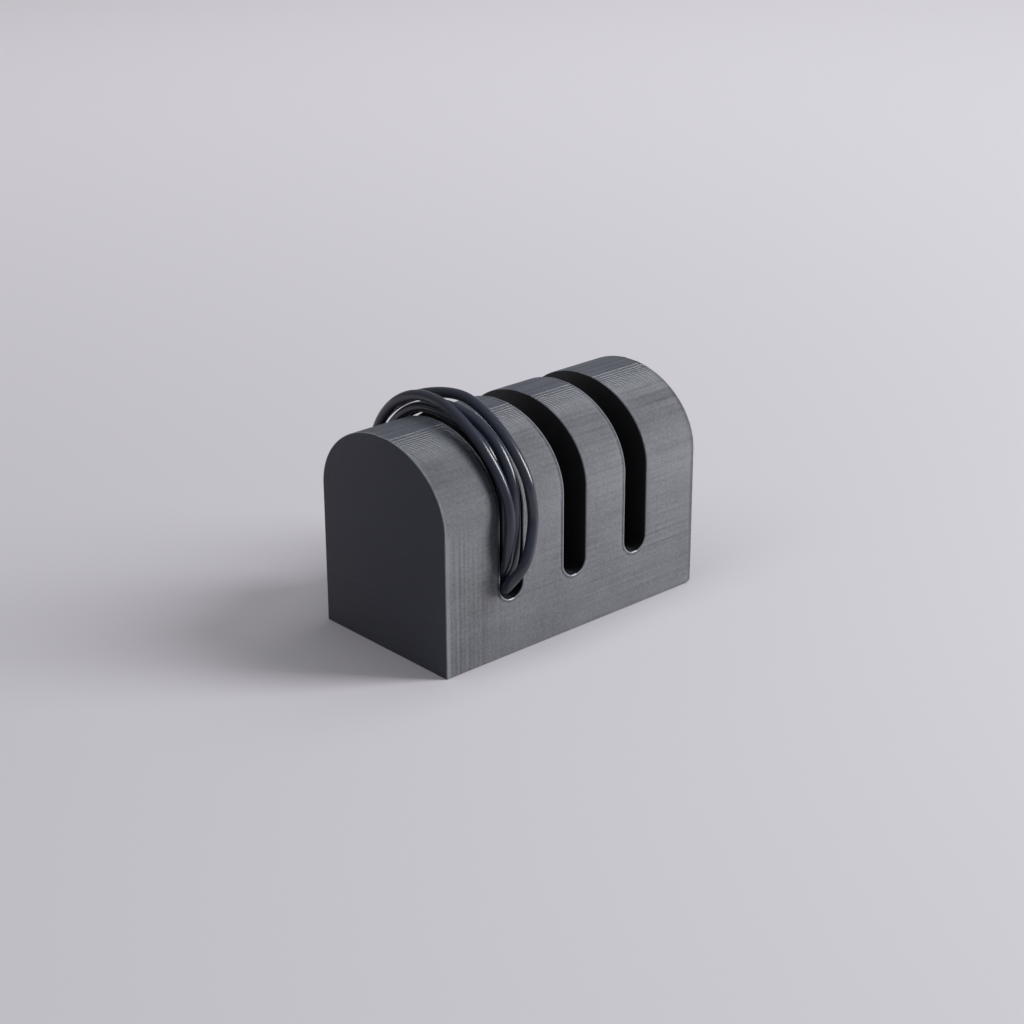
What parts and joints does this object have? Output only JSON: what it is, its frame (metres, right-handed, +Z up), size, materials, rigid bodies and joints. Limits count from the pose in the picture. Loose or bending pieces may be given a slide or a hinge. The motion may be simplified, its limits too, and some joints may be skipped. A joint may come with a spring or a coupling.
{
  "type": "desk cable organizer",
  "caption": "Arched block with round-bottomed slots open at the top, holding a small coil of thin cable with a plug at each end.",
  "frame": {"origin": "middle of the block's base, on the desk", "axes": "+X along the block, away from the end whose slot holds the cable; +Y across the block, from the front long side to the rear; +Z up"},
  "size_m": [0.1, 0.1021, 0.0741],
  "materials": {
    "body_plastic": "layered print, satin matte charcoal grey",
    "cable_jacket": "smooth, softly glossy blue-black jacket",
    "plug_grip": "moulded, fine matte",
    "plug_metal": "stamped, plated, lightly brushed",
    "plug_insert": "moulded, white"
  },
  "bodies": {
    "root": {"organizer_body": "body_plastic", "cable_coil": "cable_jacket", "cable_tail_slim": "cable_jacket", "cable_tail_wide": "cable_jacket", "slim_plug_grip": "plug_grip", "slim_plug_shell": "plug_metal", "wide_plug_grip": "plug_grip", "wide_plug_shell": "plug_metal", "wide_plug_tongue": "plug_insert"}
  },
  "joints": []
}
